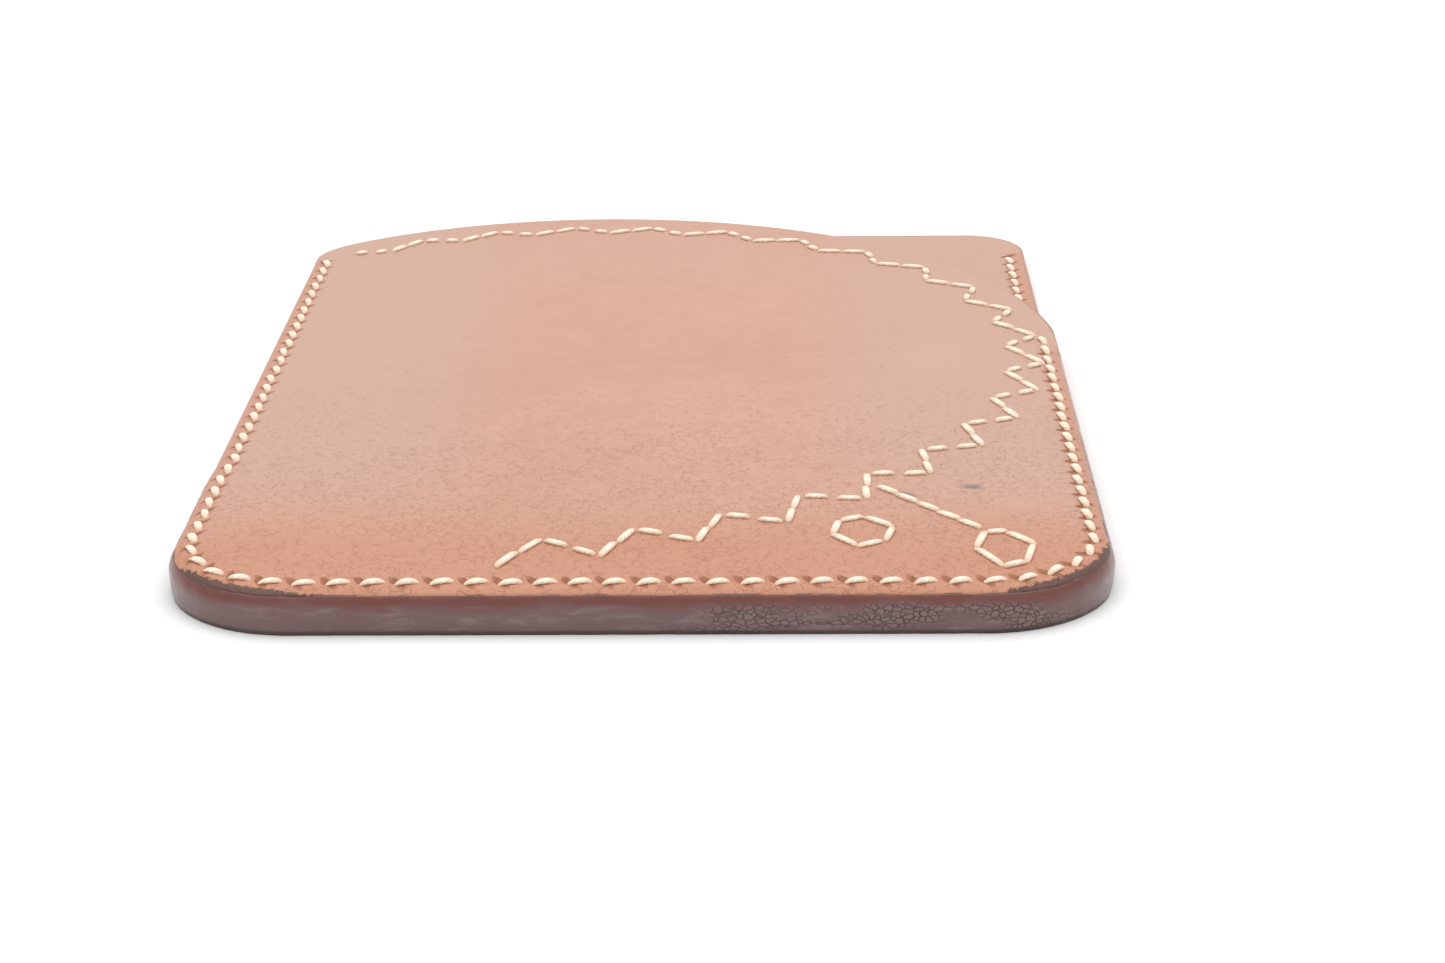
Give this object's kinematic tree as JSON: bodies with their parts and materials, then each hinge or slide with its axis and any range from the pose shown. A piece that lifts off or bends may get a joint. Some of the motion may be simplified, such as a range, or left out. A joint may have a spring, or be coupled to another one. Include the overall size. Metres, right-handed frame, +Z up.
{
  "type": "card holder",
  "caption": "Flat sewn leather card holder with a curved front pocket mouth, a slanted rear pocket, contrast seam stitching and a zigzag sewn ornament.",
  "frame": {"origin": "bottom centre of the bounding box, on the surface that the rear pocket rests on", "axes": "+X across to the right, +Y from the sewn end to the open end, +Z up through the layers, out of the decorated face"},
  "size_m": [0.0764, 0.107, 0.0043],
  "materials": {
    "leather": "vegetable tanned, satin, fine grain",
    "flesh": "matt flesh side",
    "thread": "waxed cream thread",
    "edge_coat": "burnished and waxed, glossy, finely crackled"
  },
  "bodies": {
    "root": {"front_panel": "leather", "welt": "flesh", "back_panel": "leather", "rear_pocket": "leather", "perimeter_thread": "thread", "zigzag_thread": "thread", "left_hexagon_thread": "thread", "right_hexagon_thread": "thread", "link_thread": "thread", "sewn_edge_coat": "edge_coat", "front_mouth_coat": "edge_coat", "far_edge_coat": "edge_coat", "rear_mouth_coat": "edge_coat"}
  },
  "joints": []
}
